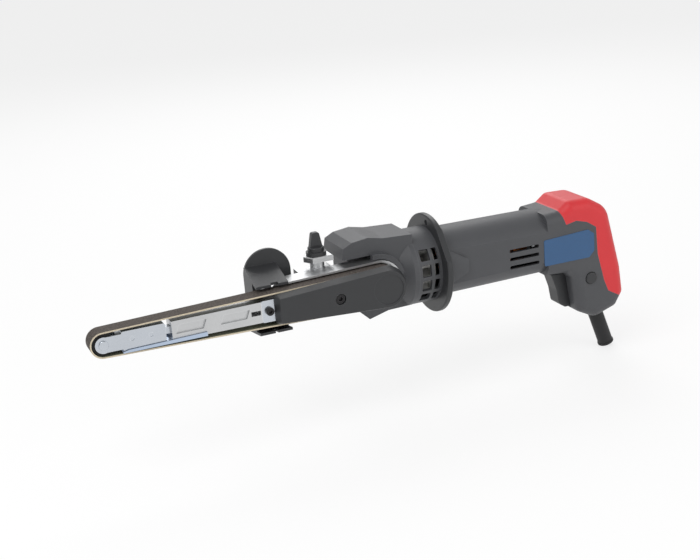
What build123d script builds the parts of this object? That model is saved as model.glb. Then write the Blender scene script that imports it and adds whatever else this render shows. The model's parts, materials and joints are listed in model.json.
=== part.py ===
from build123d import *
import os
from math import cos, pi, radians, sin, sqrt, tan, atan, atan2, degrees

# Handheld belt sander (power file): a narrow belt on a swivelling arm, driven through bevel gears.
os.makedirs("parts", exist_ok=True)

# ---------------------------------------------------------------------------------------------
# Driving dimensions, in millimetres.
# x is measured backwards from the nose roller's axis, y backwards from the belt's mid-plane and
# z upwards from the line through both roller axes. The origin is the middle of the dust port's
# mouth, which the three PORT values place.
# ---------------------------------------------------------------------------------------------
PORT_X, PORT_Y, PORT_Z = 124.5, 46.0, 6.0

# Sanding belt and the two rollers it runs on
BELT_WIDTH = 13.0
BELT_THICKNESS = 1.0
NOSE_RADIUS = 7.5
DRIVE_RADIUS = 12.4
DRIVE_X = 194.0                 # nose roller to drive pulley
BELT_GAP = 0.2                  # between the belt and what it runs on
BELT_HALF = BELT_WIDTH / 2

# Nose: axle, roller and fork
AXLE_RADIUS = 2.0
AXLE_HEAD_RADIUS = 3.15
NOSE_ROLLER_WIDTH = 9.2
EAR_GAP = 0.3                   # between the roller's end and each ear
EAR_RADIUS = 5.4
FORK_NECK_X = 12.0              # where the fork's ears widen into its block
FORK_END_X = 40.4
FORK_HEIGHT = 13.0
TONGUE_END_X = 84.0
TONGUE_WIDTH = 5.2
TONGUE_HEIGHT = 4.4
FORK_TRAVEL = 4.0               # how far the nose pushes back against its spring
SLIDE_GAP = 0.3

# Arm bar, its clamp plate and the platen under it
ARM_END_X = 172.0
ARM_FRONT_HEIGHT = 13.0
ARM_REAR_HEIGHT = 16.0
CLAMP_PLATE_X = 105.4
CLAMP_PLATE_LENGTH = 12.8
CLAMP_PLATE_HEIGHT = 15.0
CLAMP_PLATE_THICKNESS = 2.0
SPRING_END_X = 104.0
PLATEN_FRONT_X = 11.5
PLATEN_REAR_X = 67.3
PLATEN_THICKNESS = 0.8

# Silver belt housing, which turns on the gear housing's snout
HOUSING_FRONT_X = 127.8
HOUSING_TOP = 14.4              # half height at its open front
HOUSING_WALL = 1.4
RIM_RADIUS = 16.2
LIP_Y = 2.0                     # near edge of the lip over the belt
HOUSING_NEAR_Y = 7.5
HOUSING_FAR_Y = 15.5
SHELF_FAR_Y = 27.0
SNOUT_RADIUS = 13.0
TURN_GAP = 0.05                 # running clearance of shafts and of the snout
BODY_GAP = 0.4                  # between pieces that move past each other

# Pulley cover
COVER_FRONT_X = 114.2               # at the base of its bevelled edge
COVER_NEAR_Y = -13.0
COVER_BASE_Y = -6.9
COVER_FRONT_HALF = 10.6
COVER_REAR_RADIUS = 15.0
COVER_BEVEL = 20.0              # degrees
COVER_WALL = 2.0
COVER_SCREW_X = 158.8

# Clamp block and wing knob that hold the arm's angle
KNOB_X, KNOB_Y = 156.0, 20.0
BLOCK_BOTTOM, BLOCK_THICKNESS = 19.8, 3.8
KNOB_RADIUS = 7.0
KNOB_TOP = 39.4
KNOB_STUD_RADIUS = 2.5

# Dust hood and nozzle
HOOD_X = 121.5
HOOD_HALF_WIDTH = 16.6
HOOD_PLATE_Y = 24.0
HOOD_PLATE_THICKNESS = 2.0
HOOD_WALL = 1.8
HOOD_TOP_NEAR, HOOD_TOP_FAR = 15.6, 22.8
HOOD_BOTTOM_NEAR, HOOD_BOTTOM_FAR = -18.6, -22.4
PORT_OUTER_RADIUS = 12.0
PORT_WALL = 2.0
HOOD_ARCH_Z = 16.6               # centre of the round top of the hood's back plate

# Motor axis and gear housing
MOTOR_Y = 26.0
GEAR_NEAR_Y = 9.0
GEAR_FAR_Y = 47.0
GEAR_REAR_X = 223.0
COLLAR_WIDTH = 3.6
COLLAR_NEAR_Y = 4.5
SPINDLE_RADIUS = 4.0
NEAR_BEARING = (9.5, 6.0)       # outer radius and width
FAR_BEARING = (9.5, 6.0)
MODULE = 1.0
PINION_TEETH = 15
GEAR_TEETH = 21
FACE_WIDTH = 4.0
TOOTH_BACKLASH = 0.2

# Vented neck and guard flange
NECK_RADIUS = 27.0
NECK_WALL = 2.5
NECK_LENGTH = 17.3
FLANGE_RADIUS = 35.7
FLANGE_THICKNESS = 4.3
HANG_HOLE_RADIUS = 2.1
HANG_HOLE_FROM_AXIS = 30.6
HANG_HOLE_ANGLE = 97.0

# Motor housing and grip
HOUSE_RADIUS = 24.6
HOUSE_TAPER = 1.0               # radius lost between the flange and the grip
HOUSE_END_X = 340.0
HALF_WIDTH = 21.0               # from the motor axis to the flat sides
SHELL = 3.0
GRIP_EDGE_RADIUS = 7.0
RED_SKIN = 1.4

# Motor
SHAFT_RADIUS = 3.5
FRONT_BEARING = (11.0, 7.0)
REAR_BEARING = (9.5, 6.0)
FRONT_BEARING_X = 214.0
REAR_BEARING_X = 327.0
ARMATURE_RADIUS = 13.0
STATOR_GAP = 0.8
COMMUTATOR_RADIUS = 8.0
FAN_RADIUS = 21.5

# Trigger, lock button, speed dial and cable sleeve
TRIGGER_TRAVEL = 5.0
TRIGGER_WIDTH = 14.0
LOCK_X, LOCK_Z = 363.4, -30.4
LOCK_RADIUS = 4.5
LOCK_TRAVEL = 2.5
DIAL_X, DIAL_Z = 384.4, -28.0
DIAL_RADIUS = 6.8
DIAL_WIDTH = 4.0
SLEEVE_X, SLEEVE_Z = 377.6, -61.5
SLEEVE_LENGTH = 33.0
SLEEVE_TILT = 18.7
SLEEVE_RADIUS = 5.7
CABLE_RADIUS = 3.6


# ---------------------------------------------------------------------------------------------
# Planes and simple bodies placed by x, y and z
# ---------------------------------------------------------------------------------------------
def side(y):
    """Plane parallel to the belt's mid-plane, at depth y and facing the near side."""
    return Plane(origin=(-PORT_X, y - PORT_Y, -PORT_Z), x_dir=(1, 0, 0), z_dir=(0, -1, 0))


def section(x):
    """Plane square to the motor axis at x, facing the grip, with its origin on that axis."""
    return Plane(origin=(x - PORT_X, MOTOR_Y - PORT_Y, -PORT_Z), x_dir=(0, 1, 0), z_dir=(1, 0, 0))


def level(z):
    """Horizontal plane at height z, facing up."""
    return Plane(origin=(-PORT_X, -PORT_Y, z - PORT_Z), x_dir=(1, 0, 0), z_dir=(0, 0, 1))


def bar_y(x, z, radius, y_near, y_far, mode=Mode.ADD):
    """Round bar square to the belt, between two depths."""
    with BuildSketch(side(y_far)) as end:
        with Locations((x, z)):
            Circle(radius)
    extrude(end.sketch, amount=y_far - y_near, mode=mode)


def bar_x(radius, x_front, x_rear, mode=Mode.ADD, y=0.0, z=0.0):
    """Round bar along the motor axis, or y and z away from it."""
    with BuildSketch(section(x_front)) as end:
        with Locations((y, z)):
            Circle(radius)
    extrude(end.sketch, amount=x_rear - x_front, mode=mode)


def bar_z(x, y, radius, z_low, z_high, mode=Mode.ADD):
    """Upright round bar."""
    with BuildSketch(level(z_low)) as end:
        with Locations((x, y)):
            Circle(radius)
    extrude(end.sketch, amount=z_high - z_low, mode=mode)


def block(x_span, y_span, z_span, mode=Mode.ADD):
    """Block between pairs of x, y and z values."""
    with BuildSketch(level(z_span[0])) as base:
        with Locations(((x_span[0] + x_span[1]) / 2, (y_span[0] + y_span[1]) / 2)):
            Rectangle(x_span[1] - x_span[0], y_span[1] - y_span[0])
    extrude(base.sketch, amount=z_span[1] - z_span[0], mode=mode)


def slab(points, y_near, y_far, radius=0.0, mode=Mode.ADD):
    """Plate with the outline of x, z points, its corners rounded, between two depths."""
    with BuildSketch(side(y_far)) as outline:
        with BuildLine():
            Polyline(*points, close=True)
        make_face()
        if radius:
            fillet(outline.vertices(), radius)
    extrude(outline.sketch, amount=y_far - y_near, mode=mode)


def loop(nose_radius, drive_radius):
    """Face inside a taut loop round the nose roller and the drive pulley."""
    with BuildSketch() as face:
        Circle(nose_radius)
        with Locations((DRIVE_X, 0)):
            Circle(drive_radius)
        make_hull()
    return face.sketch


# ---------------------------------------------------------------------------------------------
# Nose: roller, bearing sleeve, axle and sprung fork
# ---------------------------------------------------------------------------------------------
EAR_INNER = NOSE_ROLLER_WIDTH / 2 + EAR_GAP
SLEEVE_BEARING_RADIUS = AXLE_RADIUS + 2.4

with BuildPart() as nose_roller:
    bar_y(0, 0, NOSE_RADIUS, -NOSE_ROLLER_WIDTH / 2, NOSE_ROLLER_WIDTH / 2)
    chamfer(nose_roller.edges().filter_by(GeomType.CIRCLE), 0.4)
    bar_y(0, 0, SLEEVE_BEARING_RADIUS, -BELT_WIDTH, BELT_WIDTH, Mode.SUBTRACT)
nose_roller.part.label = "nose_roller"
export_step(nose_roller.part, "parts/nose_roller.step")

with BuildPart() as roller_bearing:
    bar_y(0, 0, SLEEVE_BEARING_RADIUS, -EAR_INNER + EAR_GAP / 2, EAR_INNER - EAR_GAP / 2)
    bar_y(0, 0, AXLE_RADIUS + TURN_GAP, -BELT_WIDTH, BELT_WIDTH, Mode.SUBTRACT)
roller_bearing.part.label = "roller_bearing"
export_step(roller_bearing.part, "parts/roller_bearing.step")

with BuildPart() as nose_axle:
    bar_y(0, 0, AXLE_RADIUS, -BELT_HALF, BELT_HALF)
    bar_y(0, 0, AXLE_HEAD_RADIUS, -BELT_HALF - 1.1, -BELT_HALF)
    bar_y(0, 0, AXLE_HEAD_RADIUS, BELT_HALF, BELT_HALF + 1.1)
    fillet(nose_axle.edges().filter_by(GeomType.CIRCLE).group_by(Axis.Y)[0], 0.5)
    fillet(nose_axle.edges().filter_by(GeomType.CIRCLE).group_by(Axis.Y)[-1], 0.5)
nose_axle.part.label = "nose_axle"
export_step(nose_axle.part, "parts/nose_axle.step")

with BuildPart() as nose_fork:
    with BuildSketch(side(BELT_HALF)):
        Circle(EAR_RADIUS)
        with Locations((FORK_NECK_X / 2, 0)):
            Rectangle(FORK_NECK_X, 2 * EAR_RADIUS - 0.6)
        with Locations(((FORK_NECK_X + FORK_END_X) / 2, 0)):
            RectangleRounded(FORK_END_X - FORK_NECK_X, FORK_HEIGHT, 1.2)
    extrude(amount=BELT_WIDTH)
    # slot for the roller
    slot_end = NOSE_RADIUS + 1.2
    with BuildSketch(level(-FORK_HEIGHT)):
        with Locations(((slot_end - 2 * EAR_RADIUS) / 2, 0)):
            Rectangle(slot_end + 2 * EAR_RADIUS, 2 * EAR_INNER)
    extrude(amount=2 * FORK_HEIGHT, mode=Mode.SUBTRACT)
    bar_y(0, 0, AXLE_RADIUS, -BELT_WIDTH, BELT_WIDTH, Mode.SUBTRACT)
    # tongue that slides in the arm bar
    block((FORK_END_X - 2, TONGUE_END_X), (-TONGUE_WIDTH / 2, TONGUE_WIDTH / 2),
          (-TONGUE_HEIGHT / 2, TONGUE_HEIGHT / 2))
    # two shallow formed dimples on the near face
    for dimple_x in (FORK_NECK_X + 6.5, FORK_END_X - 9.5):
        bar_y(dimple_x, 0.8, 1.5, -BELT_HALF, -BELT_HALF + 0.5, Mode.SUBTRACT)
nose_fork.part.label = "nose_fork"
export_step(nose_fork.part, "parts/nose_fork.step")

# ---------------------------------------------------------------------------------------------
# Arm bar, clamp plate, tension spring and platen
# ---------------------------------------------------------------------------------------------
ARM_FRONT_X = FORK_END_X + FORK_TRAVEL
CLAMP_SCREW_X = CLAMP_PLATE_X + 5.2
SCREW_RADIUS = 1.6
POCKET_DEPTH = 1.5
CHANNEL_WIDTH = TONGUE_WIDTH + 2 * SLIDE_GAP
CHANNEL_HEIGHT = TONGUE_HEIGHT + 2 * SLIDE_GAP

with BuildPart() as arm_bar:
    slab([(ARM_FRONT_X, -ARM_FRONT_HEIGHT / 2), (ARM_FRONT_X, ARM_FRONT_HEIGHT / 2),
          (CLAMP_PLATE_X, ARM_FRONT_HEIGHT / 2 + 0.6), (ARM_END_X, ARM_REAR_HEIGHT / 2),
          (ARM_END_X, -ARM_REAR_HEIGHT / 2), (CLAMP_PLATE_X, -ARM_FRONT_HEIGHT / 2 - 0.6)],
         -BELT_HALF, BELT_HALF)
    # rear foot that seats on the belt housing's wall
    slab([(HOUSING_FRONT_X + 2, -ARM_FRONT_HEIGHT / 2), (HOUSING_FRONT_X + 2, ARM_FRONT_HEIGHT / 2),
          (ARM_END_X, ARM_FRONT_HEIGHT / 2), (ARM_END_X, -ARM_FRONT_HEIGHT / 2)],
         BELT_HALF, HOUSING_NEAR_Y)
    # two recessed pockets with slanted ends in the near face, then the seat of the clamp plate
    for front, rear in ((ARM_FRONT_X + 2.5, ARM_FRONT_X + 23.5), (ARM_FRONT_X + 32.5, CLAMP_PLATE_X - 8)):
        slab([(front, -2.4), (front + 2.5, 3.6), (rear, 3.6), (rear - 2.5, -2.4)],
             -BELT_HALF, -BELT_HALF + POCKET_DEPTH, mode=Mode.SUBTRACT)
    block((CLAMP_PLATE_X, ARM_END_X), (-BELT_WIDTH, -BELT_HALF + CLAMP_PLATE_THICKNESS),
          (-BELT_WIDTH, BELT_WIDTH), Mode.SUBTRACT)
    # channel for the fork's tongue and the spring, with a window that shows the spring
    block((ARM_FRONT_X - 1, SPRING_END_X), (-CHANNEL_WIDTH / 2, CHANNEL_WIDTH / 2),
          (-CHANNEL_HEIGHT / 2, CHANNEL_HEIGHT / 2), Mode.SUBTRACT)
    block((CLAMP_PLATE_X - 7.4, CLAMP_PLATE_X - 0.8), (-BELT_WIDTH, 0), (-1.6, 1.6), Mode.SUBTRACT)
    bar_y(CLAMP_SCREW_X, 0, SCREW_RADIUS, -BELT_WIDTH, 3, Mode.SUBTRACT)
    bar_y(COVER_SCREW_X, 0, SCREW_RADIUS, -BELT_WIDTH, 3, Mode.SUBTRACT)
arm_bar.part.label = "arm_bar"
export_step(arm_bar.part, "parts/arm_bar.step")

PLATE_NEAR_Y = -BELT_HALF
PLATE_SEAT_Y = PLATE_NEAR_Y + CLAMP_PLATE_THICKNESS

with BuildPart() as arm_clamp_plate:
    block((CLAMP_PLATE_X, CLAMP_PLATE_X + CLAMP_PLATE_LENGTH), (PLATE_NEAR_Y, PLATE_SEAT_Y),
          (-CLAMP_PLATE_HEIGHT / 2, CLAMP_PLATE_HEIGHT / 2))
    fillet(arm_clamp_plate.edges().filter_by(Axis.Y), 1.2)
    bar_y(CLAMP_SCREW_X, 0, SCREW_RADIUS, -BELT_WIDTH, 0, Mode.SUBTRACT)
arm_clamp_plate.part.label = "arm_clamp_plate"
export_step(arm_clamp_plate.part, "parts/arm_clamp_plate.step")


def socket_screw(x, z, head_y, tip_y, head_radius, shank_radius, head_height):
    """Socket cap screw square to the belt, its head seated at head_y and facing the near side."""
    with BuildPart() as screw:
        bar_y(x, z, head_radius, head_y - head_height, head_y)
        bar_y(x, z, shank_radius, head_y, tip_y)
        with BuildSketch(side(head_y - 0.35 * head_height)) as socket:
            with Locations((x, z)):
                RegularPolygon(0.55 * head_radius, 6)
        extrude(socket.sketch, amount=head_height, mode=Mode.SUBTRACT)
    return screw.part


clamp_screw = socket_screw(CLAMP_SCREW_X, 0, PLATE_NEAR_Y, 2.5, 2.8, SCREW_RADIUS, 2.0)
clamp_screw.label = "clamp_screw"
export_step(clamp_screw, "parts/clamp_screw.step")


def coil_spring(start, direction, coil_radius, wire_radius, length, turns):
    """Open coil spring between two points on its axis."""
    end_room = wire_radius + 0.1
    free = length - 2 * end_room
    with BuildPart() as spring:
        with BuildLine() as path:
            Helix(pitch=free / turns, height=free, radius=coil_radius,
                  center=start + direction * end_room, direction=direction)
        with BuildSketch(Plane(origin=path.line @ 0, z_dir=path.line % 0)):
            RegularPolygon(wire_radius, 6)
        sweep()
    return spring.part


def at(x, y, z):
    """Point at x, y and z, in the part's frame."""
    return Vector(x - PORT_X, y - PORT_Y, z - PORT_Z)


tension_spring = coil_spring(at(TONGUE_END_X, 0, 0), Vector(1, 0, 0), 1.8, 0.4, SPRING_END_X - TONGUE_END_X, 6)
tension_spring.label = "tension_spring"
export_step(tension_spring, "parts/tension_spring.step")

PLATEN_TOP = -FORK_HEIGHT / 2 - SLIDE_GAP
PLATEN_HALF = BELT_HALF + SLIDE_GAP
with BuildPart() as platen:
    block((PLATEN_FRONT_X, PLATEN_REAR_X), (-PLATEN_HALF - PLATEN_THICKNESS, PLATEN_HALF + PLATEN_THICKNESS),
          (PLATEN_TOP - PLATEN_THICKNESS, PLATEN_TOP))
    # folded lips that hug the fork and the arm bar
    for y_near in (-PLATEN_HALF - PLATEN_THICKNESS, PLATEN_HALF):
        slab([(PLATEN_FRONT_X, PLATEN_TOP), (PLATEN_FRONT_X + 4, PLATEN_TOP + 0.9),
              (PLATEN_REAR_X, PLATEN_TOP + 1.9), (PLATEN_REAR_X, PLATEN_TOP)],
             y_near, y_near + PLATEN_THICKNESS)
platen.part.label = "platen"
export_step(platen.part, "parts/platen.step")

# ---------------------------------------------------------------------------------------------
# Sanding belt
# ---------------------------------------------------------------------------------------------
with BuildPart() as sanding_belt:
    with BuildSketch(side(BELT_HALF)):
        add(loop(NOSE_RADIUS + BELT_GAP + BELT_THICKNESS, DRIVE_RADIUS + BELT_GAP + BELT_THICKNESS))
        add(loop(NOSE_RADIUS + BELT_GAP, DRIVE_RADIUS + BELT_GAP), mode=Mode.SUBTRACT)
    extrude(amount=BELT_WIDTH)
sanding_belt.part.label = "sanding_belt"
export_step(sanding_belt.part, "parts/sanding_belt.step")

# ---------------------------------------------------------------------------------------------
# Belt housing: wall behind the belt, lip over it, ring on the snout and shelf for the clamp block
# ---------------------------------------------------------------------------------------------
POST_RADIUS = 5.0
SHELF_FRONT_X = KNOB_X - 15.0
SHELF_REAR_X = KNOB_X + 9.5


def housing_outline(inset):
    """Side outline of the belt housing, drawn in by an even inset except at its open front."""
    with BuildSketch() as face:
        with Locations((HOUSING_FRONT_X + 1, 0)):
            Rectangle(2, 2 * (HOUSING_TOP - inset))
        with Locations((DRIVE_X, 0)):
            Circle(RIM_RADIUS - inset)
        make_hull()
    return face.sketch


with BuildPart() as belt_housing:
    with BuildSketch(side(HOUSING_FAR_Y)):
        add(housing_outline(0))
    extrude(amount=HOUSING_FAR_Y - LIP_Y)
    with BuildSketch(side(HOUSING_NEAR_Y)):
        add(housing_outline(HOUSING_WALL))
    extrude(amount=BELT_WIDTH, mode=Mode.SUBTRACT)
    block((SHELF_FRONT_X, SHELF_REAR_X), (HOUSING_FAR_Y - 1, SHELF_FAR_Y), (HOUSING_TOP - 7, HOUSING_TOP))
    bar_z(KNOB_X, KNOB_Y, POST_RADIUS, HOUSING_TOP - 1, BLOCK_BOTTOM)
    bar_z(KNOB_X, KNOB_Y, KNOB_STUD_RADIUS + TURN_GAP, HOUSING_TOP - 6, KNOB_TOP, Mode.SUBTRACT)
    bar_y(DRIVE_X, 0, SNOUT_RADIUS + TURN_GAP, GEAR_NEAR_Y, SHELF_FAR_Y, Mode.SUBTRACT)
    bar_y(DRIVE_X, 0, SNOUT_RADIUS - 4, 0, SHELF_FAR_Y, Mode.SUBTRACT)
belt_housing.part.label = "belt_housing"
export_step(belt_housing.part, "parts/belt_housing.step")

BLOCK_TOP = BLOCK_BOTTOM + BLOCK_THICKNESS
with BuildPart() as clamp_block:
    with BuildSketch(level(BLOCK_BOTTOM)):
        with BuildLine():
            Polyline((KNOB_X - 9.5, KNOB_Y), (KNOB_X - 5.5, KNOB_Y - 7.5), (KNOB_X + 9.5, KNOB_Y - 7.5),
                     (KNOB_X + 9.5, KNOB_Y + 7.5), (KNOB_X - 5.5, KNOB_Y + 7.5), close=True)
        make_face()
    extrude(amount=BLOCK_THICKNESS)
    chamfer(clamp_block.edges().group_by(Axis.Z)[-1], 0.5)
    bar_z(KNOB_X, KNOB_Y, KNOB_STUD_RADIUS + TURN_GAP, 0, KNOB_TOP, Mode.SUBTRACT)
clamp_block.part.label = "clamp_block"
export_step(clamp_block.part, "parts/clamp_block.step")

KNOB_BASE = BLOCK_TOP + 0.2
with BuildPart() as wing_knob:
    bar_z(KNOB_X, KNOB_Y, KNOB_RADIUS, KNOB_BASE, KNOB_BASE + 2.4)
    bar_z(KNOB_X, KNOB_Y, KNOB_RADIUS - 1.4, KNOB_BASE + 2.4, KNOB_BASE + 5.6)
    fillet(wing_knob.edges().filter_by(GeomType.CIRCLE).group_by(Axis.Z)[-1], 0.8)
    bar_z(KNOB_X, KNOB_Y, KNOB_STUD_RADIUS, HOUSING_TOP - 5, KNOB_BASE)
    # upright wing for finger and thumb, narrowing towards its rounded top
    with BuildSketch(side(KNOB_Y + 1.8)):
        with BuildLine():
            FilletPolyline((KNOB_X - 5.2, KNOB_BASE + 2), (KNOB_X - 2.6, KNOB_TOP), (KNOB_X + 2.6, KNOB_TOP),
                           (KNOB_X + 5.2, KNOB_BASE + 2), radius=[0, 1.6, 1.6, 0], close=True)
        make_face()
    extrude(amount=3.6)
wing_knob.part.label = "wing_knob"
export_step(wing_knob.part, "parts/wing_knob.step")

# ---------------------------------------------------------------------------------------------
# Pulley cover and its screw
# ---------------------------------------------------------------------------------------------
COVER_DEPTH = COVER_BASE_Y - COVER_NEAR_Y
COVER_SEAT_Y = PLATE_SEAT_Y


def cover_outline(inset):
    """Side outline of the pulley cover's base, from its blunt front to its round end."""
    front_corner = 3.0
    with BuildSketch() as face:
        for corner_z in (-1, 1):
            with Locations((COVER_FRONT_X + inset + front_corner,
                            corner_z * (COVER_FRONT_HALF - inset - front_corner))):
                Circle(front_corner)
        with Locations((DRIVE_X, 0)):
            Circle(COVER_REAR_RADIUS - inset)
        make_hull()
    return face.sketch


with BuildPart() as pulley_cover:
    with BuildSketch(side(COVER_BASE_Y)):
        add(cover_outline(0))
    extrude(amount=COVER_DEPTH, taper=COVER_BEVEL)
    fillet(pulley_cover.edges().group_by(Axis.Y)[0], 0.8)
    with BuildSketch(side(COVER_BASE_Y)):
        add(cover_outline(COVER_WALL))
    extrude(amount=COVER_DEPTH - COVER_WALL, taper=COVER_BEVEL, mode=Mode.SUBTRACT)
    # round recess over the pulley, and the boss that carries the screw
    bar_y(DRIVE_X, 0, COVER_REAR_RADIUS - 4.2, COVER_NEAR_Y, COVER_NEAR_Y + 0.5, Mode.SUBTRACT)
    bar_y(COVER_SCREW_X, 0, 5.0, COVER_NEAR_Y + 1, COVER_SEAT_Y)
    bar_y(COVER_SCREW_X, 0, 3.8, COVER_NEAR_Y, COVER_NEAR_Y + 3.2, Mode.SUBTRACT)
    bar_y(COVER_SCREW_X, 0, SCREW_RADIUS, COVER_NEAR_Y, COVER_SEAT_Y, Mode.SUBTRACT)
pulley_cover.part.label = "pulley_cover"
export_step(pulley_cover.part, "parts/pulley_cover.step")

cover_screw = socket_screw(COVER_SCREW_X, 0, COVER_NEAR_Y + 3.2, 2.5, 3.2, SCREW_RADIUS, 2.4)
cover_screw.label = "cover_screw"
export_step(cover_screw, "parts/cover_screw.step")

# ---------------------------------------------------------------------------------------------
# Dust hood round the belt and the nozzle behind it
# ---------------------------------------------------------------------------------------------
HOOD_FRONT_X = HOOD_X - HOOD_HALF_WIDTH
HOOD_REAR_X = HOUSING_FRONT_X - 0.2
HOOD_WALL_Y = HOUSING_NEAR_Y + 0.5
HOOD_LENGTH = HOOD_REAR_X - HOOD_FRONT_X
NOZZLE_BACK_Y = HOOD_PLATE_Y + HOOD_PLATE_THICKNESS
NOZZLE_STEP = 1.0               # ledge at the bottom of the nozzle's bore
HOOD_BOSS_X = HOUSING_FRONT_X + 4.6
HOOD_BOSS_Z = -12.0


def hood_plate(near_z, far_z, thickness):
    """Sloping plate over or under the belt, from its near edge back to the nozzle."""
    with BuildSketch(section(HOOD_FRONT_X)) as face:
        with BuildLine():
            Polyline((-MOTOR_Y, near_z), (HOOD_PLATE_Y - MOTOR_Y, far_z),
                     (HOOD_PLATE_Y - MOTOR_Y, far_z + thickness), (-MOTOR_Y, near_z + thickness), close=True)
        make_face()
    extrude(face.sketch, amount=HOOD_LENGTH)


with BuildPart() as dust_hood:
    hood_plate(HOOD_TOP_NEAR, HOOD_TOP_FAR, -HOOD_WALL)
    hood_plate(HOOD_BOTTOM_NEAR, HOOD_BOTTOM_FAR, HOOD_WALL)
    for wall_x in (HOOD_FRONT_X, HOOD_REAR_X - HOOD_WALL):
        with BuildSketch(section(wall_x)):
            with BuildLine():
                rise = (HOOD_TOP_FAR - HOOD_TOP_NEAR) / HOOD_PLATE_Y
                fall = (HOOD_BOTTOM_FAR - HOOD_BOTTOM_NEAR) / HOOD_PLATE_Y
                Polyline((HOOD_WALL_Y - MOTOR_Y, HOOD_BOTTOM_NEAR + fall * HOOD_WALL_Y),
                         (HOOD_PLATE_Y - MOTOR_Y, HOOD_BOTTOM_FAR), (HOOD_PLATE_Y - MOTOR_Y, HOOD_TOP_FAR),
                         (HOOD_WALL_Y - MOTOR_Y, HOOD_TOP_NEAR + rise * HOOD_WALL_Y), close=True)
            make_face()
        extrude(amount=HOOD_WALL)
    # notch in the near edge of the top plate and slit in the bottom plate
    block((HOOD_X - 6, HOOD_X - 1), (-1, 2), (0, 2 * HOOD_HALF_WIDTH), Mode.SUBTRACT)
    block((HOOD_X - 6, HOOD_X - 4), (-1, 6), (-2 * HOOD_HALF_WIDTH, 0), Mode.SUBTRACT)
    # back plate with a round top, open towards the nozzle
    with BuildSketch(side(HOOD_PLATE_Y + HOOD_PLATE_THICKNESS)):
        with Locations((HOOD_X, HOOD_ARCH_Z)):
            Circle(HOOD_HALF_WIDTH)
        with Locations((HOOD_X, (HOOD_ARCH_Z + HOOD_BOTTOM_FAR) / 2)):
            Rectangle(2 * HOOD_HALF_WIDTH, HOOD_ARCH_Z - HOOD_BOTTOM_FAR)
    extrude(amount=HOOD_PLATE_THICKNESS)
    with BuildSketch(side(HOOD_PLATE_Y + HOOD_PLATE_THICKNESS)):
        with Locations((PORT_X, PORT_Z)):
            Circle(PORT_OUTER_RADIUS - PORT_WALL - NOZZLE_STEP)
        with Locations((HOOD_REAR_X - HOOD_WALL + PORT_OUTER_RADIUS, 0)):
            Rectangle(2 * PORT_OUTER_RADIUS, 8 * PORT_OUTER_RADIUS, mode=Mode.SUBTRACT)
    extrude(amount=HOOD_PLATE_THICKNESS, mode=Mode.SUBTRACT)
    # boss that stands on the belt housing's back
    bar_y(HOOD_BOSS_X, HOOD_BOSS_Z, 4.0, HOUSING_FAR_Y, HOOD_PLATE_Y)
    bar_y(HOOD_BOSS_X, HOOD_BOSS_Z, SCREW_RADIUS, HOUSING_FAR_Y, NOZZLE_BACK_Y, Mode.SUBTRACT)
dust_hood.part.label = "dust_hood"
export_step(dust_hood.part, "parts/dust_hood.step")

with BuildPart() as dust_nozzle:
    bar_y(PORT_X, PORT_Z, PORT_OUTER_RADIUS, NOZZLE_BACK_Y, PORT_Y)
    bar_y(PORT_X, PORT_Z, PORT_OUTER_RADIUS - PORT_WALL, NOZZLE_BACK_Y, PORT_Y, Mode.SUBTRACT)
dust_nozzle.part.label = "dust_nozzle"
export_step(dust_nozzle.part, "parts/dust_nozzle.step")

# ---------------------------------------------------------------------------------------------
# Gear housing: box with a nose over the belt housing, snout for the spindle and raised collar
# ---------------------------------------------------------------------------------------------
SNOUT_FAR_Y = HOUSING_FAR_Y + BODY_GAP
CAVITY_RADIUS = 12.5
PINION_ROOM = 8.4
CAVITY_NEAR_Y, CAVITY_FAR_Y = 18.0, 41.0
REAR_PLATE_X = GEAR_REAR_X - 3.5
NEAR_BEARING_Y = GEAR_NEAR_Y + 0.6
COLLAR_OUTER = RIM_RADIUS + BODY_GAP + COLLAR_WIDTH

GEAR_PROFILE = [(170.0, 19.0), (171.5, 27.0), (178.0, 30.2), (190.0, 31.7), (201.0, 29.4), (GEAR_REAR_X, 28.2),
                (GEAR_REAR_X, -25.2), (204.5, -25.6), (190.0, -29.4), (183.0, -22.6), (176.5, 2.0), (176.5, 19.0)]
NEAR_PROFILE = [(170.0, 19.0), (171.5, 27.0), (178.0, 30.2), (190.0, 31.7), (201.0, 29.4), (GEAR_REAR_X, 28.2),
                (GEAR_REAR_X, -12.0), (207.0, -12.0), (DRIVE_X, 0.0), (DRIVE_X, 19.0)]

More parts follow.
